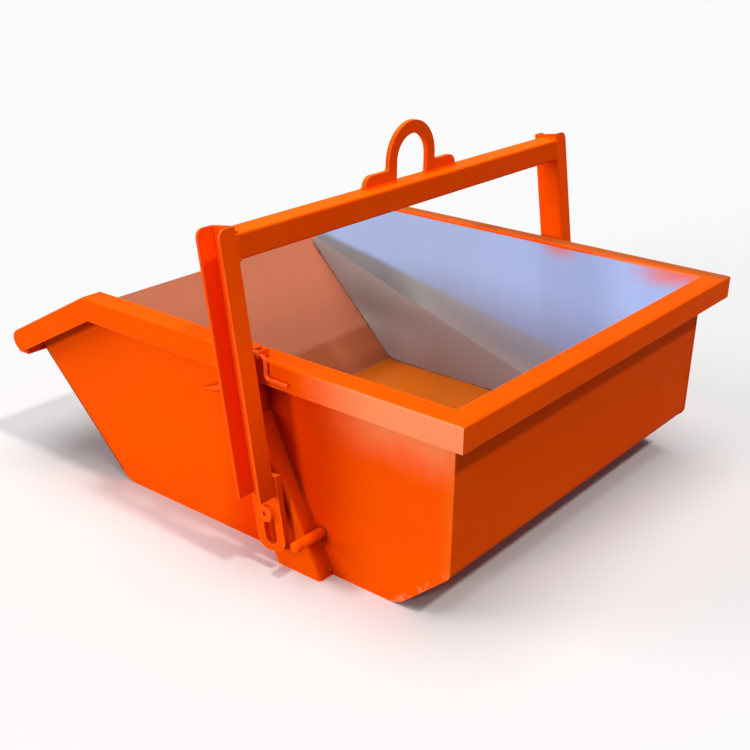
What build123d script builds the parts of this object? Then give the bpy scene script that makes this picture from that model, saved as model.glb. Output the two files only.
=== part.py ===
from build123d import *
import os
from math import atan2, cos, radians, sin, tan

# Tipping hopper for a building site: an open welded tub that hangs by two side pivots in a bail.
# Millimetres. +X points to the pouring lip, +Y to the latch side, +Z up; the ground is Z = 0.
# The origin is on the ground under the middle of the whole hopper.

# Tub. Reaches run forward from the rear of the rim, setbacks back from the front, heights up from the ground.
# The radii of its bends, under the rear panel and at both ends of the floor, are those of their outer faces.
# Past its bend a plate has a short straight leg.
tub_length = 1500.0
tub_width = 1260.0
tub_height = 525.0
plate = 5.0
panel_bend = 25.0
floor_bend = 70.0
bend_leg = 15.0
chamfer_height = 126.0
floor_start = 196.0
slope_setback = 380.0
lip_setback = 10.0
lip_depth = 55.0
lip_width = 40.0
lip_wall = 6.0

# Angle round the mouth, and the ears that carry it down to the lip.
rim_leg = 60.0
rim_wall = 6.0
rim_heel = 5.0
ear_setback = 322.0
ear_slope = 28.0

# Pivots on the two sides.
pivot_reach = 522.0
pivot_height = 154.0
pin_d = 30.0
pin_fit = 0.1
bush_wall = 3.1
bush_flange = 4.8
slot_clear = 0.3
end_play = 0.3
washer_overlap = 2.5
washer_thick = 10.0
screw_d = 16.0
screw_head_d = 30.0
screw_length = 36.0
screw_socket = 10.0
socket_depth = 5.0
thread_fit = 0.05

# Leaning channel that carries each pivot. Its height is that of the middle of its square-cut top.
bracket_width = 123.0
bracket_depth = 45.0
bracket_wall = 6.0
bracket_heel = 8.0
bracket_lean = 26.0
bracket_height = 347.0
bracket_to_stub = 4.0
doubler_thick = 10.0
doubler_gap = 4.0

# Bail: two channel legs with slotted lugs, and the beam between them, its top measured up from the rim.
beam_rise = 283.0
beam_side = 60.0
beam_wall = 4.0
beam_corner = 6.0
leg_lean = 8.9
leg_rise = 10.0
leg_web = 75.0
leg_flange = 51.0
leg_wall = 6.0
leg_heel = 6.0
leg_start = 47.5
leg_corner = 20.0
lug_thick = 16.0
lug_rail = 25.0
lug_end = 15.0
lug_corner = 32.0
lug_top = 96.0
slot_travel = 66.0

# Lifting eye on the beam.
eye_thick = 12.0
eye_hole_r = 62.0
eye_bar = 32.0
eye_rise = 48.0
eye_foot_reach = 186.0
eye_foot_height = 31.0
eye_foot_corner = 26.0
eye_root = 8.0
eye_offset = 12.0

# Stops for the two ends of the swing. The front stop lies under the rim by its drop.
swing_limit = 94.0
stub_d = 26.0
stub_arm = 96.4
stub_gap = 1.0
stub_past_leg = 21.0
stub_chamfer = 2.0
stop_slope = 25.5
stop_drop = 3.0
stop_length = 225.0
stop_end = 12.0
stop_thick = 6.0
stop_past_leg = 40.0
stop_gap = 0.5

# Latch rod on the near rim, in two eyes.
rod_d = 10.0
rod_bend = 12.0
rod_fit = 0.2
rod_to_rim = 1.0
rod_to_leg = 3.0
crossbar_drop = 51.0
handle_length = 65.0
eye_lug_d = 18.0
eye_lug_thick = 6.0
eye_lug_foot = 24.0
eye_lug_lift = 1.0
eye_lug_space = 17.0
collar_play = 0.5
leg_to_latch = 7.0
rod_end = 6.0

# Places that follow from the sizes above.
rear = -tub_length / 2
half_width = tub_width / 2
side_face = half_width - rim_leg + plate
side_inner = side_face - plate
pivot_x = rear + pivot_reach
lean = radians(leg_lean)
leg_up = Vector(sin(lean), 0, cos(lean))
leg_ahead = Vector(cos(lean), 0, -sin(lean))

latch_y = half_width + rod_to_rim + rod_d / 2
latch_z = tub_height + eye_lug_d / 2 + eye_lug_lift
leg_face = latch_y + eye_lug_d / 2 + leg_to_latch
lug_face = leg_face - lug_thick
bracket_face = side_face + bracket_depth

bush_d = pin_d + 2 * pin_fit + 2 * bush_wall
slot_width = bush_d + 2 * slot_clear
lug_width = slot_width + 2 * lug_rail
lug_bottom = slot_travel + slot_width / 2 + lug_end
washer_d = slot_width + 2 * washer_overlap
pin_end = leg_face + 2 * end_play

sides = (("near", 1), ("far", -1))


def leg_x(height, ahead):
    """X of a line along the leg, set ahead of its axis, at a height above the ground."""
    return pivot_x + (height - pivot_height) * tan(lean) + ahead / cos(lean)


# The beam's rear face is level with the rear faces of the legs.
beam_top = tub_height + beam_rise
beam_z = beam_top - beam_side / 2
beam_x = leg_x(beam_z, -leg_web / 2) + beam_side / 2


def inset(points, depth):
    """The open outline moved to its left by depth, mitred at the corners and square at the ends."""
    steps = [Vector(b) - Vector(a) for a, b in zip(points, points[1:])]
    normals = [Vector(-s.Y, s.X) / s.length for s in steps]
    pairs = zip([normals[0]] + normals, normals + [normals[-1]])
    shifts = [(a + b) * (depth / (1 + a.dot(b))) for a, b in pairs]
    return [tuple(Vector(p) + s)[:2] for p, s in zip(points, shifts)]


def finish(piece, name):
    """Name a finished piece and write it to its own file."""
    piece.part.label = name
    export_step(piece.part, f"parts/{name}.step")


os.makedirs("parts", exist_ok=True)

# Side view of the tub's outer faces, from the rear top corner round to the lip, its corners still sharp.
ear_angle = radians(ear_slope)
bend_x = -rear - ear_setback
lip_x = -rear - lip_setback
lip_z = tub_height - (lip_x - bend_x) * tan(ear_angle)
rear_face = rear + rim_leg - plate
plate_top = tub_height - rim_wall
profile = [
    (rear_face, plate_top),
    (rear_face, chamfer_height),
    (rear + floor_start, 0.0),
    (-rear - slope_setback, 0.0),
    (lip_x, lip_z),
]
bends = dict(zip(profile[1:4], (panel_bend, floor_bend, floor_bend)))


def bend_seam(corner, toward):
    """End of the plate that is bent at a corner of the side view, on the way toward a neighbouring corner."""
    point = Vector(profile[corner])
    before = point - Vector(profile[corner - 1])
    after = Vector(profile[corner + 1]) - point
    step = Vector(profile[toward]) - point
    reach = bends[profile[corner]] * tan(radians(before.get_angle(after)) / 2) + bend_leg
    return tuple(point + step * (reach / step.length))[:2]


# Plates across the tub, fitted between the side plates. The rear chamfer and the front slope carry the bends.
panel_seam = bend_seam(1, 0)
chamfer_seam = bend_seam(2, 3)
slope_seam = bend_seam(3, 2)
cross_plates = {
    "rear_panel": [profile[0], panel_seam],
    "rear_chamfer_plate": [panel_seam, profile[1], profile[2], chamfer_seam],
    "floor_plate": [chamfer_seam, slope_seam],
    "front_slope_plate": [slope_seam, profile[3], profile[4]],
}
for name, outer_edge in cross_plates.items():
    inner_edge = inset(outer_edge, plate)
    with BuildPart() as cross_plate:
        with BuildSketch(Plane.XZ):
            with BuildLine():
                Polyline(*outer_edge, *reversed(inner_edge), close=True)
            make_face()
            for outer_corner, inner_corner in zip(outer_edge[1:-1], inner_edge[1:-1]):
                fillet(vertices().sort_by_distance(outer_corner)[0], bends[outer_corner])
                fillet(vertices().sort_by_distance(inner_corner)[0], bends[outer_corner] - plate)
        extrude(amount=side_inner, both=True)
    finish(cross_plate, name)

# Side plates end under the rim and the ears. Their front corner lies down the slope by the rim's wall.
slope_run = lip_x - profile[3][0]
slope_angle = atan2(lip_z, slope_run)
corner_drop = rim_wall / sin(slope_angle + ear_angle)
side_corner = (lip_x - corner_drop * cos(slope_angle), lip_z - corner_drop * sin(slope_angle))
side_bend = (bend_x - rim_wall * tan(ear_angle / 2), plate_top)
for side, sign in sides:
    with BuildPart() as side_plate:
        with BuildSketch(Plane.XZ.offset(-sign * side_face)):
            with BuildLine():
                Polyline(*profile[:4], side_corner, side_bend, close=True)
            make_face()
            for corner, radius in bends.items():
                fillet(vertices().sort_by_distance(corner)[0], radius)
        extrude(amount=sign * plate)
    finish(side_plate, f"side_plate_{side}")


def angle_points(heel, inward):
    """Corners of the rim angle's section, its outer heel at (heel, 0), its top leg pointing inward."""
    return [
        (heel, 0),
        (heel + inward * rim_leg, 0),
        (heel + inward * rim_leg, -rim_wall),
        (heel + inward * rim_wall, -rim_wall),
        (heel + inward * rim_wall, -rim_leg),
        (heel, -rim_leg),
    ]


# Mitre where the rim bends down into the ear: its normal points along the ear.
bend_mitre = Plane(
    origin=(bend_x, 0, tub_height),
    x_dir=(0, 1, 0),
    z_dir=(cos(ear_angle / 2), 0, -sin(ear_angle / 2)),
)
ear_axis = Vector(cos(ear_angle), 0, -sin(ear_angle))
ear_end_r = rim_leg / 2
ear_run = (-rear - ear_end_r - bend_x + ear_end_r * sin(ear_angle)) / cos(ear_angle)
for side, sign in sides:
    rear_mitre = Plane(origin=(rear, sign * half_width, 0), x_dir=(0, 0, 1), z_dir=(1, sign, 0))
    with BuildPart() as rim_angle:
        with BuildSketch(Plane.YZ.offset(rear).shift_origin((rear, 0, tub_height))) as rim_section:
            with BuildLine():
                Polyline(*angle_points(sign * half_width, -sign), close=True)
            make_face()
            fillet(rim_section.vertices().sort_by_distance((sign * half_width, 0))[0], rim_heel)
        extrude(amount=bend_x - rear)
        split(bisect_by=rear_mitre, keep=Keep.TOP)
        split(bisect_by=bend_mitre, keep=Keep.BOTTOM)
    finish(rim_angle, f"rim_angle_{side}")

    with BuildPart() as ear_angle_bar:
        ear_section = Plane(origin=(bend_x, 0, tub_height), x_dir=(0, 1, 0), z_dir=ear_axis)
        with BuildSketch(ear_section.offset(-rim_leg)) as rim_section:
            with BuildLine():
                Polyline(*angle_points(sign * half_width, -sign), close=True)
            make_face()
            fillet(rim_section.vertices().sort_by_distance((sign * half_width, 0))[0], rim_heel)
        extrude(amount=rim_leg + ear_run + ear_end_r)
        split(bisect_by=bend_mitre, keep=Keep.TOP)
        ear_side = Plane(origin=(bend_x, 0, tub_height), x_dir=ear_axis, z_dir=(0, -1, 0))
        with BuildSketch(ear_side):
            with Locations((-rim_leg, -rim_leg)):
                Rectangle(rim_leg + ear_run, rim_leg, align=(Align.MIN, Align.MIN))
            with Locations((ear_run, -ear_end_r)):
                Circle(ear_end_r)
        extrude(amount=tub_width, both=True, mode=Mode.INTERSECT)
    finish(ear_angle_bar, f"ear_angle_{side}")

# The rear rim is the same angle turned across the tub and mitred at both ends.
with BuildPart() as rim_rear:
    with BuildSketch(Plane.XZ.offset(half_width).shift_origin((0, -half_width, tub_height))) as rim_section:
        with BuildLine():
            Polyline(*angle_points(rear, 1), close=True)
        make_face()
        fillet(rim_section.vertices().sort_by_distance((rear, 0))[0], rim_heel)
    extrude(amount=-tub_width)
    for side, sign in sides:
        rear_mitre = Plane(origin=(rear, sign * half_width, 0), x_dir=(0, 0, 1), z_dir=(1, sign, 0))
        split(bisect_by=rear_mitre, keep=Keep.BOTTOM)
finish(rim_rear, "rim_angle_rear")

# Channel under the pouring lip, between the ears. Its front leg ends under the ears' top legs.
# Both of its legs meet the slope plate.
lip_cut = rim_wall / cos(ear_angle) + lip_wall * tan(ear_angle)
lip_drop = lip_cut / (1 + tan(ear_angle) / tan(slope_angle))
lip_top = lip_z - lip_drop
lip_bottom = lip_top - lip_depth
lip_front = lip_x - lip_drop / tan(slope_angle) + lip_wall
lip_rear = lip_front - lip_width
lip_rear_inner = lip_rear + lip_wall
with BuildPart() as lip_channel:
    with BuildSketch(Plane.XZ):
        with BuildLine():
            Polyline(
                (lip_rear, (lip_rear - profile[3][0]) * tan(slope_angle)),
                (lip_rear, lip_bottom),
                (lip_front, lip_bottom),
                (lip_front, lip_top),
                (lip_front - lip_wall, lip_top),
                (lip_front - lip_wall, lip_bottom + lip_wall),
                (lip_rear_inner, lip_bottom + lip_wall),
                (lip_rear_inner, (lip_rear_inner - profile[3][0]) * tan(slope_angle)),
                close=True,
            )
        make_face()
    extrude(amount=half_width - rim_wall, both=True)
finish(lip_channel, "lip_channel")

# Stop stubs behind the brackets: the rear edges of the lugs meet them at the end of the swing.
swing = radians(swing_limit)
stop_along = Vector(sin(lean - swing), 0, cos(lean - swing))
stop_beside = Vector(-cos(lean - swing), 0, sin(lean - swing))
stub_from_pivot = stop_along * stub_arm + stop_beside * (lug_width / 2 + stub_gap + stub_d / 2)
stub_x = pivot_x + stub_from_pivot.X
stub_z = pivot_height + stub_from_pivot.Z

# Leaning channel on each side: its web carries the pivot, its flanges stand on the side plate.
# Its rear face stands clear of the stub.
bracket_angle = radians(bracket_lean)
bracket_ahead = Vector(cos(bracket_angle), 0, -sin(bracket_angle))
bracket_rear = -stub_from_pivot.dot(bracket_ahead) - stub_d / 2 - bracket_to_stub
bracket_offset = bracket_width / 2 - bracket_rear
bracket_middle = pivot_x + bracket_offset / cos(bracket_angle) - pivot_height * tan(bracket_angle)
bracket_top = Vector(bracket_middle + bracket_height * tan(bracket_angle), 0, bracket_height)


def bracket_points(width):
    """Corners of the leaning outline, level on the ground and square to the lean at the top."""
    half_ground = width / 2 / cos(bracket_angle)
    top_corners = [bracket_top + bracket_ahead * (ahead * width / 2) for ahead in (1, -1)]
    return [
        (bracket_middle - half_ground, 0),
        (bracket_middle + half_ground, 0),
        *((corner.X, corner.Z) for corner in top_corners),
    ]


doubler_d = 2 * (min(bracket_rear, bracket_width - bracket_rear) - bracket_wall - doubler_gap)
for side, sign in sides:
    with BuildPart() as pivot_bracket:
        with BuildSketch(Plane.XZ.offset(-sign * bracket_face)):
            Polygon(*bracket_points(bracket_width), align=None)
        extrude(amount=sign * bracket_depth)
        web_edges = pivot_bracket.faces().sort_by(Axis.Y)[-1 if sign > 0 else 0].edges()
        fillet(web_edges.sort_by(SortBy.LENGTH)[-2:], bracket_heel)
        with BuildSketch(Plane.XZ.offset(-sign * (bracket_face - bracket_wall))):
            Polygon(*bracket_points(bracket_width - 2 * bracket_wall), align=None)
        extrude(amount=sign * (bracket_depth - bracket_wall), mode=Mode.SUBTRACT)
        with BuildSketch(Plane.XZ.offset(-sign * bracket_face)):
            with Locations((pivot_x, pivot_height)):
                Circle(pin_d / 2 + pin_fit)
        extrude(amount=sign * bracket_wall, mode=Mode.SUBTRACT)
    finish(pivot_bracket, f"pivot_bracket_{side}")

    with BuildPart() as pivot_doubler:
        with BuildSketch(Plane.XZ.offset(-sign * (side_face + doubler_thick))):
            with Locations((pivot_x, pivot_height)):
                Circle(doubler_d / 2)
                Circle(pin_d / 2 + pin_fit, mode=Mode.SUBTRACT)
        extrude(amount=sign * doubler_thick)
    finish(pivot_doubler, f"pivot_doubler_{side}")

    with BuildPart() as pivot_pin:
        with BuildSketch(Plane.XZ.offset(-sign * pin_end)):
            with Locations((pivot_x, pivot_height)):
                Circle(pin_d / 2)
        extrude(amount=sign * (pin_end - side_face))
        with BuildSketch(Plane.XZ.offset(-sign * pin_end)):
            with Locations((pivot_x, pivot_height)):
                Circle(screw_d / 2 + thread_fit)
        extrude(amount=sign * (screw_length - washer_thick + end_play), mode=Mode.SUBTRACT)
    finish(pivot_pin, f"pivot_pin_{side}")

    # The bush turns on the pin; its flange keeps the lug off the bracket, its barrel runs in the slot.
    with BuildPart() as pivot_bush:
        with BuildSketch(Plane.XZ.offset(-sign * (lug_face - end_play))):
            with Locations((pivot_x, pivot_height)):
                Circle(bush_d / 2 + bush_flange)
        extrude(amount=sign * (lug_face - bracket_face - 2 * end_play))
        with BuildSketch(Plane.XZ.offset(-sign * (pin_end - end_play))):
            with Locations((pivot_x, pivot_height)):
                Circle(bush_d / 2)
        extrude(amount=sign * (pin_end - lug_face))
        with BuildSketch(Plane.XZ.offset(-sign * pin_end)):
            with Locations((pivot_x, pivot_height)):
                Circle(pin_d / 2 + pin_fit)
        extrude(amount=sign * (pin_end - bracket_face), mode=Mode.SUBTRACT)
    finish(pivot_bush, f"pivot_bush_{side}")

    # End washer, countersunk for its screw, and the screw with a hexagon socket.
    washer_face = pin_end + washer_thick
    outward = Plane(origin=(pivot_x, sign * washer_face, pivot_height), x_dir=(1, 0, 0), z_dir=(0, sign, 0))
    head_depth = (screw_head_d - screw_d) / 2
    with BuildPart() as pivot_washer:
        with BuildSketch(outward):
            Circle(washer_d / 2)
        extrude(amount=-washer_thick)
        with Locations(outward):
            CounterSinkHole(
                radius=screw_d / 2 + thread_fit,
                counter_sink_radius=screw_head_d / 2 + thread_fit,
                depth=washer_thick,
            )
    finish(pivot_washer, f"pivot_washer_{side}")

    with BuildPart() as pivot_screw:
        with BuildSketch(outward):
            Circle(screw_d / 2)
        extrude(amount=-screw_length)
        with BuildSketch(outward):
            Circle(screw_head_d / 2)
        with BuildSketch(outward.offset(-head_depth)):
            Circle(screw_d / 2)
        loft()
        with BuildSketch(outward):
            RegularPolygon(screw_socket / 2, 6, major_radius=False)
        extrude(amount=-socket_depth, mode=Mode.SUBTRACT)
    finish(pivot_screw, f"pivot_screw_{side}")

# Stop stubs: round bars on the side plates.
for side, sign in sides:
    with BuildPart() as tipping_stop:
        with BuildSketch(Plane.XZ.offset(-sign * (leg_face + stub_past_leg))):
            with Locations((stub_x, stub_z)):
                Circle(stub_d / 2)
        extrude(amount=sign * (leg_face + stub_past_leg - side_face))
        chamfer(tipping_stop.faces().sort_by(Axis.Y)[-1 if sign > 0 else 0].edges(), stub_chamfer)
    finish(tipping_stop, f"tipping_stop_{side}")

# Front stops: sloping gussets on the side plates that the legs lean on at rest.
stop_angle = radians(stop_slope)
stop_height = tub_height - rim_leg - stop_drop
stop_reach = leg_face + stop_past_leg - side_face
leg_front = Plane(
    origin=(leg_x(pivot_height, leg_web / 2 + stop_gap), 0, pivot_height),
    x_dir=(0, 1, 0),
    z_dir=leg_ahead,
)
for side, sign in sides:
    stop_plane = Plane(
        origin=(leg_x(stop_height, leg_web / 2), sign * side_face, stop_height),
        x_dir=(cos(stop_angle), 0, -sin(stop_angle)),
        z_dir=(sin(stop_angle), 0, cos(stop_angle)),
    )
    with BuildPart() as front_stop:
        with BuildSketch(stop_plane):
            with BuildLine():
                Polyline(
                    (-stop_end, 0),
                    (stop_length, 0),
                    (stop_end, sign * stop_reach),
                    (-stop_end, sign * stop_reach),
                    close=True,
                )
            make_face()
        extrude(amount=-stop_thick)
        split(bisect_by=leg_front, keep=Keep.TOP)
    finish(front_stop, f"front_stop_{side}")

# Bail legs: channels cut square at both ends, open side outward, ending a little above the beam.
leg_foot = Plane(origin=(pivot_x, 0, pivot_height), x_dir=(0, 1, 0), z_dir=leg_up)
leg_length = (beam_top + leg_rise - pivot_height) / cos(lean) - leg_start
for side, sign in sides:
    with BuildPart() as bail_leg:
        with BuildSketch(leg_foot.offset(leg_start)):
            with BuildLine():
                Polyline(
                    (sign * leg_face, -leg_web / 2),
                    (sign * (leg_face + leg_flange), -leg_web / 2),
                    (sign * (leg_face + leg_flange), -leg_web / 2 + leg_wall),
                    (sign * (leg_face + leg_wall), -leg_web / 2 + leg_wall),
                    (sign * (leg_face + leg_wall), leg_web / 2 - leg_wall),
                    (sign * (leg_face + leg_flange), leg_web / 2 - leg_wall),
                    (sign * (leg_face + leg_flange), leg_web / 2),
                    (sign * leg_face, leg_web / 2),
                    close=True,
                )
            make_face()
            fillet(vertices().sort_by(lambda v: abs(v.X))[:2], leg_heel)
        extrude(amount=leg_length)
        top_edges = bail_leg.faces().sort_by(Axis.Z)[-1].edges()
        fillet(top_edges.sort_by(lambda e: abs(e.center().Y))[-2:], leg_corner)
    finish(bail_leg, f"bail_leg_{side}")

    # Slotted lug on the inboard face of the leg's web; the bush lies at the top of the slot at rest.
    lug_plane = Plane(
        origin=(pivot_x, sign * leg_face, pivot_height),
        x_dir=leg_ahead,
        z_dir=(0, -1, 0),
    )
    with BuildPart() as bail_lug:
        with BuildSketch(lug_plane):
            with Locations((0, lug_top)):
                Rectangle(lug_width, lug_top + lug_bottom, align=(Align.CENTER, Align.MAX))
            fillet(vertices().sort_by(Axis.Y)[:2], lug_corner)
            with Locations((0, -slot_travel / 2)):
                SlotCenterToCenter(slot_travel, slot_width, rotation=90, mode=Mode.SUBTRACT)
        extrude(amount=sign * lug_thick)
    finish(bail_lug, f"bail_lug_{side}")

# Cross beam: square hollow section between the webs of the legs.
with BuildPart() as cross_beam:
    with BuildSketch(Plane.XZ):
        with Locations((beam_x, beam_z)):
            RectangleRounded(beam_side, beam_side, beam_corner)
            inner_side = beam_side - 2 * beam_wall
            RectangleRounded(inner_side, inner_side, beam_corner - beam_wall, mode=Mode.SUBTRACT)
    extrude(amount=leg_face, both=True)
finish(cross_beam, "cross_beam")

# Lifting eye: arched plate with flat feet, standing on the beam.
eye_outer_r = eye_hole_r + eye_bar
with BuildPart() as lifting_eye:
    with BuildSketch(Plane.YZ.offset(beam_x + eye_offset).shift_origin((beam_x + eye_offset, 0, beam_top))):
        with Locations((0, eye_rise)):
            Circle(eye_outer_r)
        Rectangle(2 * eye_outer_r, eye_rise, align=(Align.CENTER, Align.MIN))
        Rectangle(2 * eye_foot_reach, eye_foot_height, align=(Align.CENTER, Align.MIN))
        split(bisect_by=Plane.XZ, keep=Keep.BOTTOM)
        with Locations((0, eye_rise)):
            Circle(eye_hole_r, mode=Mode.SUBTRACT)
        Rectangle(2 * eye_hole_r, eye_rise, align=(Align.CENTER, Align.MIN), mode=Mode.SUBTRACT)
        foot_corners = vertices().filter_by_position(Axis.Y, eye_foot_height, eye_foot_height)
        fillet(foot_corners.sort_by(lambda v: abs(v.X))[-2:], eye_foot_corner)
        roots = vertices().filter_by_position(Axis.Y, eye_foot_height, eye_foot_height)
        fillet(roots.sort_by(lambda v: abs(v.X))[:2], eye_root)
    extrude(amount=eye_thick / 2, both=True)
finish(lifting_eye, "lifting_eye")

# Latch: a cranked rod that hangs beside the near rim, in two eyes on the rim, with a collar between them.
crossbar_x = leg_x(tub_height - rim_leg / 2, -leg_web / 2) - rod_to_leg - rod_d / 2
first_eye = crossbar_x + rod_d / 2 + rod_bend
second_eye = first_eye + eye_lug_thick + eye_lug_space
for name, eye_x in (("latch_eye_rear", first_eye), ("latch_eye_front", second_eye)):
    with BuildPart() as latch_eye:
        with BuildSketch(Plane.YZ.offset(eye_x)):
            with Locations((latch_y, latch_z)):
                Circle(eye_lug_d / 2)
            with Locations((half_width, tub_height)):
                Rectangle(eye_lug_foot, eye_lug_d + eye_lug_lift, align=(Align.MAX, Align.MIN))
            with Locations((latch_y, latch_z)):
                Rectangle(rod_to_rim + rod_d / 2, eye_lug_d, align=(Align.MAX, Align.CENTER))
                Circle(rod_d / 2 + rod_fit, mode=Mode.SUBTRACT)
        extrude(amount=eye_lug_thick)
    finish(latch_eye, name)

with BuildPart() as latch_rod:
    with BuildLine() as rod_line:
        FilletPolyline(
            (second_eye + eye_lug_thick + rod_end, latch_y, latch_z),
            (crossbar_x, latch_y, latch_z),
            (crossbar_x, latch_y, latch_z - crossbar_drop),
            (crossbar_x - handle_length, latch_y, latch_z - crossbar_drop),
            radius=rod_bend,
        )
    with BuildSketch(Plane(origin=rod_line.line @ 0, z_dir=rod_line.line % 0)):
        Circle(rod_d / 2)
    sweep()
finish(latch_rod, "latch_rod")

with BuildPart() as latch_collar:
    with BuildSketch(Plane.YZ.offset(first_eye + eye_lug_thick + collar_play)):
        with Locations((latch_y, latch_z)):
            Circle(eye_lug_d / 2)
            Circle(rod_d / 2, mode=Mode.SUBTRACT)
    extrude(amount=eye_lug_space - 2 * collar_play)
finish(latch_collar, "latch_collar")
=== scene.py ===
import math
from random import Random

import bpy
from mathutils import Matrix, Vector


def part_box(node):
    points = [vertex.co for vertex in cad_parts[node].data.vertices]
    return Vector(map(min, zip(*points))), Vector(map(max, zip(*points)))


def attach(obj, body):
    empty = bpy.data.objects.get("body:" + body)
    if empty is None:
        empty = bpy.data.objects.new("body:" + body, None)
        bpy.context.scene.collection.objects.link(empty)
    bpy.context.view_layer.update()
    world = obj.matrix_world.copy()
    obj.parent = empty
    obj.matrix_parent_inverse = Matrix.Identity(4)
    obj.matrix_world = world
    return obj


# Looks of the tipping hopper: orange enamel outside, scraped dusty plate inside, weld beads at the joints.
# Metres. +X points to the pouring lip, +Y to the latch side, +Z up.
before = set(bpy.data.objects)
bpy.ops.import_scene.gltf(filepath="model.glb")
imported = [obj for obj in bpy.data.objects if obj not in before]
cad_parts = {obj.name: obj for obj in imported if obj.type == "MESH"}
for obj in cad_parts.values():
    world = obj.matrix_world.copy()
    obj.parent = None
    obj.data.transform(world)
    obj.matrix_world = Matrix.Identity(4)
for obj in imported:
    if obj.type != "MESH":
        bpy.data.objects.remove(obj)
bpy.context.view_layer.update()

# Places on the solids that the finishes and the beads follow.
UP = Vector((0, 0, 1))
FORWARD = Vector((1, 0, 0))
PIVOT_X = -0.228
PIVOT_Z = 0.154
LEG_LEAN = math.radians(8.9)
LEG_UP = Vector((math.sin(LEG_LEAN), 0, math.cos(LEG_LEAN)))
LEG_AHEAD = Vector((math.cos(LEG_LEAN), 0, -math.sin(LEG_LEAN)))
LEG_START = 0.0475
BRACKET_LEAN = math.radians(26.0)
BRACKET_UP = Vector((math.sin(BRACKET_LEAN), 0, math.cos(BRACKET_LEAN)))
BRACKET_AHEAD = Vector((math.cos(BRACKET_LEAN), 0, -math.sin(BRACKET_LEAN)))
BRACKET_WIDTH = 0.123
PANEL_X = -0.695
CHAMFER_TOP = 0.126
CHAMFER_INWARD = (0.666, 0.746)
FLOOR_REAR = -0.554
FLOOR_FRONT = 0.37
SLOPE_INWARD = (-0.692, 0.722)
TUB_BENDS = (0.025, 0.07, 0.07)
TUB_MIDDLE = (-0.1, 0.0, 0.42)
REAR_MITRE_X = -0.12
EAR_MITRE_X = 0.2971
EAR_MITRE_SLANT = 0.2493
EYE_FOOT_START = 0.064

# Numbers of the Mix node's colour sockets.
MIX_SHARE, MIX_A, MIX_B, MIX_RESULT = 0, 6, 7, 2


class Wire:
    """A shader socket. Arithmetic on it adds Math nodes to its tree; node() adds any other kind."""

    def __init__(self, tree, socket=None):
        self.tree = tree
        self.socket = socket

    def node(self, kind, settings=None, inputs=None, output=0):
        """Add a node, make its settings, fill its sockets with values or wires, and return one output."""
        made = self.tree.nodes.new("ShaderNode" + kind)
        for key, value in (settings or {}).items():
            setattr(made, key, value)
        for key, value in (inputs or {}).items():
            if isinstance(value, Wire):
                self.tree.links.new(value.socket, made.inputs[key])
            else:
                made.inputs[key].default_value = value
        return Wire(self.tree, made.outputs[output])

    def math(self, operation, *values):
        """A Math node on these values or wires."""
        return self.node("Math", {"operation": operation}, dict(enumerate(values)))

    def __add__(self, other):
        return self.math("ADD", self, other)

    def __sub__(self, other):
        return self.math("SUBTRACT", self, other)

    def __rsub__(self, other):
        return self.math("SUBTRACT", other, self)

    def __mul__(self, other):
        return self.math("MULTIPLY", self, other)

    __radd__ = __add__
    __rmul__ = __mul__

    def rise(self, start, end):
        """0 at start and before it, 1 at end and past it, smooth between; end may be the smaller one."""
        settings = {"interpolation_type": "SMOOTHSTEP"}
        return self.node("MapRange", settings, {"Value": self, "From Min": start, "From Max": end})

    def size(self):
        """The value without its sign."""
        return self.math("ABSOLUTE", self)

    def mix(self, share, a, b):
        """Colour a where share is 0, colour b where it is 1."""
        a, b = (c if isinstance(c, Wire) else (*c, 1.0) for c in (a, b))
        return self.node("Mix", {"data_type": "RGBA"}, {MIX_SHARE: share, MIX_A: a, MIX_B: b}, MIX_RESULT)


def tint(red, green, blue):
    """Linear colour of a screen colour given as 0 to 255, by the sRGB curve."""
    shares = [c / 255 for c in (red, green, blue)]
    return tuple(c / 12.92 if c <= 0.04045 else ((c + 0.055) / 1.055) ** 2.4 for c in shares)


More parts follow.
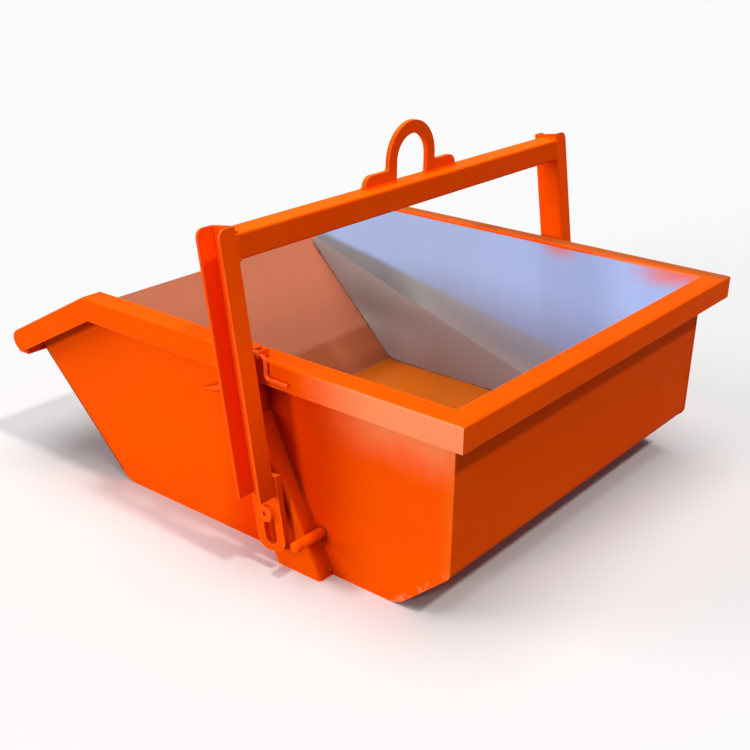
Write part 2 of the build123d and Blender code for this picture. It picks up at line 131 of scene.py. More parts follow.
class Finish:
    """A material under way: its places and normals on the piece, and the usual patterns on them."""

    EDGE_SAMPLES = 6
    EDGE_TURN = (0.02, 0.22)
    NOOK_SAMPLES = 8
    PAINT_GLOSS = 0.008
    PAINT_SHEEN = tint(255, 120, 20)
    PAINT_RELIEF = 0.1
    PAINT_DEPTH = 0.001

    def __init__(self, name):
        self.material = bpy.data.materials.new(name)
        self.material.use_nodes = True
        self.tree = self.material.node_tree
        self.shader = self.tree.nodes["Principled BSDF"]
        self.add = Wire(self.tree)
        self.mix = self.add.mix
        self.place = self.add.node("TexCoord", output="Object")
        self.facing = self.add.node("TexCoord", output="Normal")

    def parts(self, vector):
        """The three numbers of a vector."""
        return [self.add.node("SeparateXYZ", None, {"Vector": vector}, axis) for axis in "XYZ"]

    def dot(self, a, b):
        """Dot product of two vectors."""
        return self.add.node("VectorMath", {"operation": "DOT_PRODUCT"}, {0: a, 1: b}, "Value")

    def noise(self, scale, detail, stretch=(1.0, 1.0, 1.0), roughness=0.55):
        """Cloudy noise from 0 to 1 with that many features in a metre, drawn out along small stretches."""
        place = self.add.node("Mapping", None, {"Vector": self.place, "Scale": stretch})
        inputs = {"Vector": place, "Scale": scale, "Detail": detail, "Roughness": roughness}
        return self.add.node("TexNoise", None, inputs)

    def edges(self, reach):
        """1 along the piece's sharp edges, fading to 0 at about that distance from them."""
        soft = self.add.node("Bevel", {"samples": self.EDGE_SAMPLES}, {"Radius": reach})
        hard = self.add.node("NewGeometry", output="Normal")
        return (1 - self.dot(soft, hard)).rise(*self.EDGE_TURN)

    def nooks(self, reach):
        """Share of the view from a place that is closed off by pieces within that reach."""
        settings = {"samples": self.NOOK_SAMPLES}
        return 1 - self.add.node("AmbientOcclusion", settings, {"Distance": reach}, "AO")

    def bump(self, height, strength, distance):
        """A normal that follows the height."""
        inputs = {"Height": height, "Strength": strength, "Distance": distance}
        return self.add.node("Bump", None, inputs)

    def done(self, specular, sheen=(1.0, 1.0, 1.0), **inputs):
        """Wire up the shader: its gloss, the gloss's colour, and sockets named with _ for a space."""
        self.shader.inputs["Specular IOR Level"].default_value = specular
        self.shader.inputs["Specular Tint"].default_value = (*sheen, 1.0)
        for key, value in inputs.items():
            socket = self.shader.inputs[key.replace("_", " ")]
            if isinstance(value, Wire):
                self.tree.links.new(value.socket, socket)
            else:
                socket.default_value = value
        return self.material

    def painted(self, colour, roughness, height, relief=PAINT_RELIEF):
        """Wire up the shader as paint, which has next to no mirror gloss here."""
        normal = self.bump(height, relief, self.PAINT_DEPTH)
        look = {"Base_Color": colour, "Roughness": roughness, "Normal": normal}
        return self.done(self.PAINT_GLOSS, self.PAINT_SHEEN, **look)


# Colours of the enamel and of what lies on it, and of the shade, highlights and reflection painted on it.
ORANGE = tint(255, 87, 1)
ORANGE_DEEP = tint(250, 78, 1)
ORANGE_PALE = tint(255, 98, 4)
SHEEN_AND_SCUFF_PALE = tint(250, 140, 92)
PRIMER = tint(120, 52, 30)
SITE_DUST = tint(240, 122, 40)
RIM_DUST = tint(165, 86, 36)
TOP_HIGHLIGHT_AMBER = tint(255, 122, 2)
EDGE_HIGHLIGHT = tint(255, 150, 96)
SCUFFED = tint(240, 112, 26)
PAINTED_NOOK_SHADE = tint(150, 18, 0)
PAINTED_EDGE_SHADE = tint(150, 36, 14)
WELD_RUST = tint(150, 48, 10)
PAINTED_RED_SHADE = tint(232, 44, 0)
PAINTED_DEEP_SHADE = tint(120, 6, 0)

# Colours of the inside of the tub, from the scraped upper walls down to the floor, with the painted half
# shade and deep shade on the walls.
WALL_PALE = (0.38, 0.52, 0.84)
WALL_SCRAPED = (0.42, 0.56, 0.9)
WALL_DULL = (0.33, 0.42, 0.6)
WALL_HALF_SHADE = (0.42, 0.51, 0.62)
WALL_HALF_SHADE_FRONT = (0.4, 0.44, 0.45)
WALL_HALF_SHADE_END = (0.24, 0.25, 0.26)
WALL_HALF_SHADE_LOW = (0.54, 0.62, 0.66)
WALL_DEEP_SHADE = (0.45, 0.46, 0.47)
WALL_DEEP_SHADE_FRONT = (0.5, 0.48, 0.46)
WALL_DEEP_SHADE_LOW = (0.66, 0.76, 0.76)
WALL_DEEP_SHADE_END = (0.34, 0.29, 0.27)
SLOPE = tint(199, 117, 86)
SLOPE_LOW = tint(176, 103, 76)
SLOPE_DEEP_SHADE = tint(152, 80, 50)
SLOPE_STREAK = tint(190, 108, 76)
FLOOR = tint(200, 94, 20)
FLOOR_DULL = tint(190, 94, 30)
GRIME = tint(140, 96, 78)
WORN_BEAD = tint(158, 108, 86)
WORN_BEAD_DARK = tint(118, 84, 70)

# Colours of the bare metals.
BARE_STEEL = tint(150, 142, 138)
PIN_STEEL = tint(150, 146, 142)
PIN_GREASED = tint(84, 76, 70)
BUSH_BRONZE = tint(176, 122, 62)
BUSH_GREASED = tint(104, 66, 32)

# Below, a noise is (features in a metre, detail, and stretches where it has them). A pair of limits is (where
# nothing shows, where all of it does): along the axis that its name ends in, of how far a face turns that way
# if its name starts with FACING, or else of a noise, or of the distance that the comment over it names.
FACING_UP = (0.6, 0.95)
FACING_OUT = (0.5, 0.9)
FACING_SIDE = (0.8, 0.95)
FACING_REAR = (-0.6, -0.9)
FACING_SLOPE = (0.2, 0.4)
FACING_FLOOR = (0.88, 0.96)
FACING_INSIDE = (0.0, 0.02)
COARSE = 0.7

# Enamel. NOOK_LIMITS are shares of the view that is closed off within NOOK_REACH, over which painted shade
# fades in.
CLOUD_NOISE = (1.6, 2.0)
MOTTLE_NOISE = (26.0, 5.0)
GRIT_NOISE = (140.0, 4.0)
PEEL_NOISE = (420.0, 2.0)
CLOUD_LIMITS = (0.3, 0.7)
PALE_LIMITS = (0.45, 0.85)
PALE_SHARE = 0.35
DUST_LIMITS = (0.5, 0.8)
DUST_SHARE = 0.1
NOOK_REACH = 0.12
NOOK_LIMITS = (0.42, 0.66)
EDGE_REACH = 0.0035
EDGE_HIGHLIGHT_LIMITS = (0.25, 0.6)
EDGE_HIGHLIGHT_SHARE = 0.5
CHIP_MOTTLE = 0.6
CHIP_GRIT = 0.4
CHIP_LIMITS = (0.62, 0.66)
CHIP_BY_WEAR = 0.1
CHIP_SHARE = 0.7
ENAMEL_ROUGHNESS = 0.42
MOTTLE_ROUGHNESS = 0.14
DUST_ROUGHNESS = 1.2
CHIP_ROUGHNESS = 0.2
PEEL_HEIGHT = 0.25
MOTTLE_HEIGHT = 0.4
CHIP_DEPTH = 1.2


def enamel_colours(finish, wear, faded=0.1, greasy=0.4, open_edge=1.0):
    """Orange enamel: (colour, roughness, height). Painted highlight and dust on top, painted shade in nooks,
    painted highlight and chips at edges.
    """
    _, _, up = finish.parts(finish.facing)
    top = up.rise(*FACING_UP)
    cloud = finish.noise(*CLOUD_NOISE)
    mottle = finish.noise(*MOTTLE_NOISE)
    grit = finish.noise(*GRIT_NOISE, roughness=COARSE)
    colour = finish.mix(cloud.rise(*CLOUD_LIMITS), ORANGE_DEEP, ORANGE)
    colour = finish.mix(mottle.rise(*PALE_LIMITS) * PALE_SHARE, colour, ORANGE_PALE)
    # Painted highlight: upward faces paler and more amber.
    colour = finish.mix(top * faded, colour, TOP_HIGHLIGHT_AMBER)
    dust = top * mottle.rise(*DUST_LIMITS) * DUST_SHARE
    colour = finish.mix(dust, colour, SITE_DUST)
    # Painted shade: darker red where nearby pieces close off the view.
    colour = finish.mix(finish.nooks(NOOK_REACH).rise(*NOOK_LIMITS) * greasy, colour, PAINTED_NOOK_SHADE)
    edge = finish.edges(EDGE_REACH) * open_edge
    # Painted highlight: paler along the sharp edges.
    colour = finish.mix(edge * mottle.rise(*EDGE_HIGHLIGHT_LIMITS) * EDGE_HIGHLIGHT_SHARE, colour, EDGE_HIGHLIGHT)
    chip_limits = (limit - CHIP_BY_WEAR * wear for limit in CHIP_LIMITS)
    chips = edge * (mottle * CHIP_MOTTLE + grit * CHIP_GRIT).rise(*chip_limits)
    colour = finish.mix(chips * CHIP_SHARE, colour, PRIMER)
    peel = finish.noise(*PEEL_NOISE)
    roughness = ENAMEL_ROUGHNESS + mottle * MOTTLE_ROUGHNESS + dust * DUST_ROUGHNESS + chips * CHIP_ROUGHNESS
    height = peel * PEEL_HEIGHT + mottle * MOTTLE_HEIGHT - chips * CHIP_DEPTH
    return colour, roughness, height


def orange_enamel(name, **look):
    """Plain sprayed enamel on a small fitting."""
    finish = Finish(name)
    return finish.painted(*enamel_colours(finish, **look))


# Painted shade down the rear faces of the bail's legs; LEG_REAR counts forward from the leg's middle.
LEG_REAR = (-0.03, -0.036)
BAIL_REAR_SHADE_Z = (0.55, 0.1)
BAIL_REAR_SHADE_SHARE = 0.7


def bail_enamel(name):
    """Enamel of the bail, with painted shade down the rear faces of its legs."""
    finish = Finish(name)
    x, _, z = finish.parts(finish.place)
    ahead, _, _ = finish.parts(finish.facing)
    colour, roughness, height = enamel_colours(finish, wear=0.6, faded=0.45, greasy=0.0)
    from_middle = (x - PIVOT_X) * LEG_AHEAD.x + (z - PIVOT_Z) * LEG_AHEAD.z
    # Painted shade: rear-facing faces of the legs darker lower down.
    rear_shade = from_middle.rise(*LEG_REAR) * ahead.rise(*FACING_REAR) * z.rise(*BAIL_REAR_SHADE_Z) * BAIL_REAR_SHADE_SHARE
    colour = finish.mix(rear_shade, colour, PAINTED_NOOK_SHADE)
    return finish.painted(colour, roughness, height)


# Painted shade on the pivot brackets beside the lugs; HEEL and LUG_REACH count forward from the bracket's
# rear edge.
BRACKET_SHADE_NOISE = (22.0, 4.0)
BRACKET_SHADE_LIMITS = (0.3, 0.65)
BRACKET_SHADE_SHARE = 0.5
BRACKET_SHADE_LEAST = 0.35
HEEL = (0.01, 0.02)
LUG_REACH = (0.09, 0.03)
BRACKET_SHADE_Z = (0.1, 0.17)


def bracket_enamel(name):
    """Enamel of the pivot brackets, with painted shade on the outer faces where the lugs run, but not on
    their heels.
    """
    finish = Finish(name)
    x, _, z = finish.parts(finish.place)
    _, out, _ = finish.parts(finish.facing)
    colour, roughness, height = enamel_colours(finish, wear=0.5, faded=0.1, greasy=0.25)
    foot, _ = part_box("pivot_bracket_near")
    from_heel = (x - foot.x) * BRACKET_AHEAD.x + z * BRACKET_AHEAD.z
    outer = out.size().rise(*FACING_SIDE)
    # Painted shade on the outer faces beside the lugs, cloudy.
    shade_cloud = finish.noise(*BRACKET_SHADE_NOISE).rise(*BRACKET_SHADE_LIMITS) * BRACKET_SHADE_SHARE + BRACKET_SHADE_LEAST
    greasy = outer * from_heel.rise(*HEEL) * from_heel.rise(*LUG_REACH) * z.rise(*BRACKET_SHADE_Z) * shade_cloud
    colour = finish.mix(greasy, colour, PAINTED_DEEP_SHADE)
    return finish.painted(colour, roughness, height)


# Painted reflection: a pale salmon sheen on the latch side's upper rear.
SHEEN_NOISE = (5.0, 3.0)
SHEEN_WAVER = 0.12
SHEEN_X = (-0.3, -0.54)
SHEEN_Z = (0.31, 0.48)
SHEEN_ROUGHNESS = 0.15


def painted_sheen(finish):
    """Share of the painted reflection, cloudy at its limits."""
    x, _, z = finish.parts(finish.place)
    _, out, _ = finish.parts(finish.facing)
    cloud = finish.noise(*SHEEN_NOISE) * SHEEN_WAVER - SHEEN_WAVER / 2
    return (x + cloud).rise(*SHEEN_X) * (z + cloud).rise(*SHEEN_Z) * out.rise(*FACING_OUT)


# Rim: distance from its mitres past which edges get the painted highlight and chips, and dust on the far
# side's top.
MITRE_REACH = (0.006, 0.012)
DUSTY_FAR_Y = (-0.57, -0.6)
RIM_DUST_SHARE = 0.85


def rim_enamel(name):
    """Enamel of the rim: its mitres ground flush, a painted reflection near the latch side's rear corner,
    dusty far top.
    """
    finish = Finish(name)
    x, y, z = finish.parts(finish.place)
    _, _, up = finish.parts(finish.facing)
    rear_mitre = (x + y.size() - REAR_MITRE_X).size()
    ear_mitre = (x - z * EAR_MITRE_SLANT - EAR_MITRE_X).size()
    open_edge = rear_mitre.rise(*MITRE_REACH) * ear_mitre.rise(*MITRE_REACH)
    colour, roughness, height = enamel_colours(finish, wear=0.8, open_edge=open_edge)
    dusty = y.rise(*DUSTY_FAR_Y) * up.rise(*FACING_UP) * RIM_DUST_SHARE
    colour = finish.mix(dusty, colour, RIM_DUST)
    # Painted reflection near the latch side's rear corner.
    sheen_share = painted_sheen(finish)
    colour = finish.mix(sheen_share, colour, SHEEN_AND_SCUFF_PALE)
    return finish.painted(colour, roughness + sheen_share * SHEEN_ROUGHNESS, height)


# Scuffs at the latch side's rear; SPECK_REACH counts inward from the chamfer.
SCUFFED_X = (-0.665, -0.69)
SCUFF_SHARE = 0.4
SPECK_NOISE = (60.0, 3.0)
SPECK_LIMITS = (0.52, 0.62)
SPECK_REACH = (0.022, 0.008)
SPECK_SHARE = 0.6


def rear_scuffs(finish):
    """Shares of scuffed paint on the latch side: along its rear edge, and in specks along its chamfer."""
    x, _, z = finish.parts(finish.place)
    _, out, _ = finish.parts(finish.facing)
    outside = out.rise(*FACING_OUT)
    from_chamfer = (x - PANEL_X) * CHAMFER_INWARD[0] + (z - CHAMFER_TOP) * CHAMFER_INWARD[1]
    specks = finish.noise(*SPECK_NOISE).rise(*SPECK_LIMITS)
    scuffed = outside * x.rise(*SCUFFED_X) * SCUFF_SHARE
    return scuffed, outside * from_chamfer.rise(*SPECK_REACH) * specks * SPECK_SHARE


# Painted shade: a dark line along the sides' sloping front edges. The reach counts inward from the edge.
EDGE_SHADE_REACH = (0.008, 0.004)
EDGE_SHADE_X = (0.385, 0.4)
EDGE_SHADE_SHARE = 0.85


def slope_edge(finish):
    """Share of painted shade along the sides' sloping front edges."""
    x, _, z = finish.parts(finish.place)
    from_edge = (x - FLOOR_FRONT) * SLOPE_INWARD[0] + z * SLOPE_INWARD[1]
    return from_edge.rise(*EDGE_SHADE_REACH) * x.rise(*EDGE_SHADE_X) * EDGE_SHADE_SHARE


# Painted shade behind the legs, between a front and a rear limit.
LEG_SHADE_FRONT_X = (0.05, -0.05)
LEG_SHADE_REAR_X = (-0.45, -0.35)
LEG_SHADE_SHARE = 0.96
RED_SHADE_FRONT_X = (0.02, -0.1)
RED_SHADE_REAR_X = (-0.5, -0.28)
RED_SHADE_SHARE = 0.68
PATCH_NOISE = (14.0, 3.0)
PATCH_WAVER = 0.04
PATCH_FRONT_X = (-0.06, -0.15)
PATCH_REAR_X = (-0.215, -0.17)
PATCH_Z = (0.28, 0.35)
PATCH_SHARE = 0.9


def behind_legs_nook_shade(finish):
    """Share of painted shade in the tub's nooks, only behind the legs."""
    x, _, _ = finish.parts(finish.place)
    return x.rise(*LEG_SHADE_FRONT_X) * x.rise(*LEG_SHADE_REAR_X) * LEG_SHADE_SHARE


def behind_legs_shades(finish):
    """Shares of painted shade on the sides: reddish to the rear of the legs, and deep right behind them."""
    x, _, z = finish.parts(finish.place)
    red = x.rise(*RED_SHADE_REAR_X) * x.rise(*RED_SHADE_FRONT_X) * RED_SHADE_SHARE
    cloud = finish.noise(*PATCH_NOISE) * PATCH_WAVER - PATCH_WAVER / 2
    spread = (x + cloud).rise(*PATCH_FRONT_X) * (x + cloud).rise(*PATCH_REAR_X)
    return red, spread * (z + cloud).rise(*PATCH_Z) * PATCH_SHARE


# Inside of the tub. Its painted half shade and deep shade, the front lip's shadows, end at wavering lines
# that climb to the front by their slants, and limits named LINE are heights that a slant has been taken from.
BROAD_NOISE = (3.0, 3.0)
WORN_NOISE = (9.0, 5.0)
GRAIN_NOISE = (90.0, 5.0)
HUNG_NOISE = (8.0, 4.0, (1.0, 1.0, 0.12))
SLID_NOISE = (10.0, 4.0, (0.1, 1.0, 0.1))
NOISE_MIDDLE = 0.5
UPPER_SHADOW_SLANT = 0.2
UPPER_SHADOW_LINE = (0.244, 0.273)
LOWER_SHADOW_SLANT = 0.32
LOWER_SHADOW_LINE = (0.136, 0.148)
LINE_WAVER = 0.012
SCRAPED_LIMITS = (0.3, 0.75)
DULL_X = (-0.2, 0.1)
DULL_SHARE = 0.35
HALF_SHADE_FRONT_X = (-0.25, 0.3)
HALF_SHADE_END_X = (0.22, 0.42)
HALF_SHADE_LOW_LINE = (0.21, 0.14)
HALF_SHADE_LOW_X = (0.32, 0.2)
DEEP_SHADE_FRONT_X = (-0.1, 0.25)
DEEP_SHADE_CLOUD_LIMITS = (0.45, 0.8)
DEEP_SHADE_CLOUD_SHARE = 0.3
DEEP_SHADE_LOW_X = (0.15, 0.35)
DEEP_SHADE_LOW_Z = (0.2, 0.1)
DEEP_SHADE_END_X = (0.2, 0.5)
DEEP_SHADE_END_Z = (0.1, 0.2)
SPRAY_WAVER = 0.08
SPRAYED_REAR_X = (-0.45, -0.62)
SPRAYED_REAR_Z = (0.45, 0.515)
SPRAYED_REAR_SHARE = 0.75
SPRAYED_LEG_FRONT_X = (-0.17, -0.24)
SPRAYED_LEG_REAR_X = (-0.33, -0.26)
SPRAYED_LEG_Z = (0.475, 0.52)
SPRAYED_LEG_SHARE = 0.6
SLOPE_X = (0.48, 0.68)
SLOPE_DEEP_SHADE_X = (0.462, 0.482)
SLOPE_WAVER = 0.01
STREAK_LIMITS = (0.45, 0.8)
STREAK_SHARE = 0.3
FLOOR_DULL_LIMITS = (0.35, 0.75)
GRIME_LIMITS = (0.62, 0.9)
GRIME_SHARE = 0.22
SCRATCH_HEIGHT = 0.5


def worn_and_shadowed_colours(finish):
    """Inside of the tub: (colour, height). Scraped pale walls over two painted shadow lines; dusty slope and
    floor.
    """
    x, _, z = finish.parts(finish.place)
    _, _, up = finish.parts(finish.facing)
    broad = finish.noise(*BROAD_NOISE) - NOISE_MIDDLE
    cloud = finish.noise(*WORN_NOISE)
    grain = finish.noise(*GRAIN_NOISE, roughness=COARSE)
    hung = finish.noise(*HUNG_NOISE)
    slid = finish.noise(*SLID_NOISE)

    # Painted shadows of the front lip: half shade below the upper line, deep shade below the lower one.
    above_upper_shadow = z - x * UPPER_SHADOW_SLANT + broad * LINE_WAVER
    above_lower_shadow = z - x * LOWER_SHADOW_SLANT + broad * LINE_WAVER
    pale = finish.mix(hung.rise(*SCRAPED_LIMITS), WALL_PALE, WALL_SCRAPED)
    pale = finish.mix(x.rise(*DULL_X) * DULL_SHARE, pale, WALL_DULL)
    # film holds the painted half shade, varied along the wall; the painted deep shade is varied the same way.
    film = finish.mix(x.rise(*HALF_SHADE_FRONT_X), WALL_HALF_SHADE, WALL_HALF_SHADE_FRONT)
    film = finish.mix(x.rise(*HALF_SHADE_END_X), film, WALL_HALF_SHADE_END)
    film = finish.mix(above_lower_shadow.rise(*HALF_SHADE_LOW_LINE) * x.rise(*HALF_SHADE_LOW_X), film, WALL_HALF_SHADE_LOW)
    deep_shade = finish.mix(x.rise(*DEEP_SHADE_FRONT_X), WALL_DEEP_SHADE, WALL_DEEP_SHADE_FRONT)
    deep_shade = finish.mix(cloud.rise(*DEEP_SHADE_CLOUD_LIMITS) * DEEP_SHADE_CLOUD_SHARE, deep_shade, WALL_HALF_SHADE)
    deep_shade = finish.mix(x.rise(*DEEP_SHADE_LOW_X) * z.rise(*DEEP_SHADE_LOW_Z), deep_shade, WALL_DEEP_SHADE_LOW)
    deep_shade = finish.mix(x.rise(*DEEP_SHADE_END_X) * z.rise(*DEEP_SHADE_END_Z), deep_shade, WALL_DEEP_SHADE_END)
    wall = finish.mix(above_upper_shadow.rise(*UPPER_SHADOW_LINE), film, pale)
    wall = finish.mix(above_lower_shadow.rise(*LOWER_SHADOW_LINE), deep_shade, wall)
    sprayed_rear = (z + (cloud - NOISE_MIDDLE) * SPRAY_WAVER).rise(*SPRAYED_REAR_Z)
    sprayed_rear = sprayed_rear * x.rise(*SPRAYED_REAR_X) * SPRAYED_REAR_SHARE
    sprayed_leg = z.rise(*SPRAYED_LEG_Z) * x.rise(*SPRAYED_LEG_FRONT_X) * x.rise(*SPRAYED_LEG_REAR_X)
    wall = finish.mix(sprayed_rear + sprayed_leg * SPRAYED_LEG_SHARE, wall, ORANGE_PALE)

    slope = finish.mix(x.rise(*SLOPE_X), SLOPE_LOW, SLOPE)
    # Painted shadow across the slope's foot.
    slope = finish.mix((x + broad * SLOPE_WAVER).rise(*SLOPE_DEEP_SHADE_X), SLOPE_DEEP_SHADE, slope)
    slope = finish.mix(slid.rise(*STREAK_LIMITS) * STREAK_SHARE, slope, SLOPE_STREAK)
    floor = finish.mix(cloud.rise(*FLOOR_DULL_LIMITS), FLOOR, FLOOR_DULL)

    colour = finish.mix(up.rise(*FACING_SLOPE), wall, slope)
    colour = finish.mix(up.rise(*FACING_FLOOR), colour, floor)
    colour = finish.mix(grain.rise(*GRIME_LIMITS) * GRIME_SHARE, colour, GRIME)
    return colour, hung * SCRATCH_HEIGHT + slid * SCRATCH_HEIGHT + grain * SCRATCH_HEIGHT


PLATE_RELIEF = 0.12
WORN_ROUGHNESS = 0.25


def tub_plate(name, open_edge):
    """A plate of the tub: enamel outside, scraped inside, painted shade and reflection, and a painted
    highlight along open edges.
    """
    finish = Finish(name)
    # Painted shade behind the legs: in the nooks, reddish further back and deep right behind them.
    greasy = behind_legs_nook_shade(finish)
    colour, roughness, height = enamel_colours(finish, wear=0.4, greasy=greasy, open_edge=open_edge)
    red, patch = behind_legs_shades(finish)
    colour = finish.mix(red, colour, PAINTED_RED_SHADE)
    colour = finish.mix(patch, colour, PAINTED_DEEP_SHADE)
    # Painted reflection on the latch side's upper rear; the pale specks after it are scuffs.
    colour = finish.mix(painted_sheen(finish), colour, SHEEN_AND_SCUFF_PALE)
    scuffed, specks = rear_scuffs(finish)
    colour = finish.mix(scuffed, colour, SCUFFED)
    colour = finish.mix(specks, colour, SHEEN_AND_SCUFF_PALE)
    # Painted shade: a dark line along the sloping front edges.
    colour = finish.mix(slope_edge(finish), colour, PAINTED_EDGE_SHADE)
    to_middle = finish.add.node("VectorMath", {"operation": "SUBTRACT"}, {0: TUB_MIDDLE, 1: finish.place})
    inside = finish.dot(finish.facing, to_middle).rise(*FACING_INSIDE)
    worn_and_shadowed, scratches = worn_and_shadowed_colours(finish)
    colour = finish.mix(inside, colour, worn_and_shadowed)
    roughness = roughness + inside * WORN_ROUGHNESS
    return finish.painted(colour, roughness, height + inside * scratches, PLATE_RELIEF)


# Enamel of the latch, rubbed to steel.
HANDLED_NOISE = (38.0, 5.0)
HANDLED_LIMITS = (0.56, 0.66)
HANDLED_SHARE = 0.7
HANDLED_POLISH = 0.12
HANDLED_GLOSS = 0.2
HANDLED_RELIEF = 0.15
HANDLED_DEPTH = 0.0008


def rubbed_enamel(name):
    """Enamel of the latch rod, rubbed to steel in patches where hands and the leg meet it."""
    finish = Finish(name)
    colour, roughness, height = enamel_colours(finish, wear=1.0)
    rubbed = finish.noise(*HANDLED_NOISE).rise(*HANDLED_LIMITS) * HANDLED_SHARE
    colour = finish.mix(rubbed, colour, BARE_STEEL)
    roughness = roughness - rubbed * HANDLED_POLISH
    normal = finish.bump(height, HANDLED_RELIEF, HANDLED_DEPTH)
    return finish.done(HANDLED_GLOSS, Base_Color=colour, Roughness=roughness, Metallic=rubbed, Normal=normal)


# Turned metal of the pivots.
TURNED_NOISE = (300.0, 3.0, (0.05, 1.0, 0.05))
GREASE_NOISE = (45.0, 5.0)
GREASE_LIMITS = (0.4, 0.7)
GREASE_HEIGHT = 0.5
METAL_ROUGHNESS = 0.3
GREASE_ROUGHNESS = 0.3
METAL_GLOSS = 0.5
METAL_SHARE = 0.9
METAL_RELIEF = 0.15
METAL_DEPTH = 0.0005


def greased_metal(name, pale, dark):
    """Turned metal under a film of old grease."""
    finish = Finish(name)
    turned = finish.noise(*TURNED_NOISE)
    film = finish.noise(*GREASE_NOISE)
    colour = finish.mix(film.rise(*GREASE_LIMITS), pale, dark)
    roughness = METAL_ROUGHNESS + film * GREASE_ROUGHNESS
    normal = finish.bump(turned + film * GREASE_HEIGHT, METAL_RELIEF, METAL_DEPTH)
    look = {"Base_Color": colour, "Roughness": roughness, "Normal": normal}
    return finish.done(METAL_GLOSS, Metallic=METAL_SHARE, **look)


# Weld beads, outside and inside.
BEAD_NOISE = (60.0, 4.0)
BEAD_LIMITS = (0.3, 0.6)
BEAD_RUST_LIMITS = (0.66, 0.76)
BEAD_RUST_SHARE = 0.3
BEAD_ROUGHNESS = 0.45
BEAD_SPOT_ROUGHNESS = 0.15
BEAD_RELIEF = 0.25
WORN_BEAD_NOISE = (50.0, 4.0)
WORN_BEAD_LIMITS = (0.4, 0.7)
WORN_BEAD_ROUGHNESS = 0.6
WORN_SPOT_ROUGHNESS = 0.2
WORN_BEAD_GLOSS = 0.1
WORN_BEAD_RELIEF = 0.3


def weld_enamel(name, greasy):
    """Enamel over a weld bead, a little darker in its ripples, rusty in spots and darkened by painted shade
    behind the legs.
    """
    finish = Finish(name)
    spots = finish.noise(*BEAD_NOISE)
    colour = finish.mix(spots.rise(*BEAD_LIMITS), ORANGE_DEEP, ORANGE)
    colour = finish.mix(spots.rise(*BEAD_RUST_LIMITS) * BEAD_RUST_SHARE, colour, WELD_RUST)
    # Painted shade on the beads behind the legs.
    colour = finish.mix(behind_legs_nook_shade(finish) * greasy, colour, PAINTED_NOOK_SHADE)
    return finish.painted(colour, BEAD_ROUGHNESS + spots * BEAD_SPOT_ROUGHNESS, spots, BEAD_RELIEF)


def worn_weld(name):
    """A bead inside the tub, scraped and dirty like the plates it joins."""
    finish = Finish(name)
    spots = finish.noise(*WORN_BEAD_NOISE)
    colour = finish.mix(spots.rise(*WORN_BEAD_LIMITS), WORN_BEAD, WORN_BEAD_DARK)
    roughness = WORN_BEAD_ROUGHNESS + spots * WORN_SPOT_ROUGHNESS
    normal = finish.bump(spots, WORN_BEAD_RELIEF, finish.PAINT_DEPTH)
    return finish.done(WORN_BEAD_GLOSS, Base_Color=colour, Roughness=roughness, Normal=normal)


def dress(material, *nodes):
    """Give these CAD nodes the material."""
    for node in nodes:
        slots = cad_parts[node].data.materials
        slots.clear()
        slots.append(material)


def both_sides(*names):
    """The near and the far node of each of these names."""
    return [f"{name}_{side}" for name in names for side in ("near", "far")]


dress(tub_plate("tub_side", open_edge=1.0), *both_sides("side_plate"))
dress(tub_plate("tub_skin", open_edge=0.0),
      "rear_panel", "rear_chamfer_plate", "floor_plate", "front_slope_plate")
dress(rim_enamel("rim_enamel"), "rim_angle_rear", "lip_channel", *both_sides("rim_angle", "ear_angle"))
dress(bracket_enamel("bracket_enamel"), *both_sides("pivot_bracket"))
dress(orange_enamel("fitting_enamel", wear=0.5, faded=0.1, greasy=0.25), "latch_eye_rear", "latch_eye_front",
      *both_sides("pivot_doubler", "pivot_washer", "pivot_screw", "tipping_stop"))
# The front stops get the strongest painted shade in their nooks.
dress(orange_enamel("stop_enamel", wear=0.5, faded=0.1, greasy=0.96), *both_sides("front_stop"))
dress(bail_enamel("bail_enamel"), "cross_beam", "lifting_eye", *both_sides("bail_leg", "bail_lug"))
dress(rubbed_enamel("latch_enamel"), "latch_rod", "latch_collar")
dress(greased_metal("pivot_steel", PIN_STEEL, PIN_GREASED), *both_sides("pivot_pin"))
dress(greased_metal("pivot_bronze", BUSH_BRONZE, BUSH_GREASED), *both_sides("pivot_bush"))


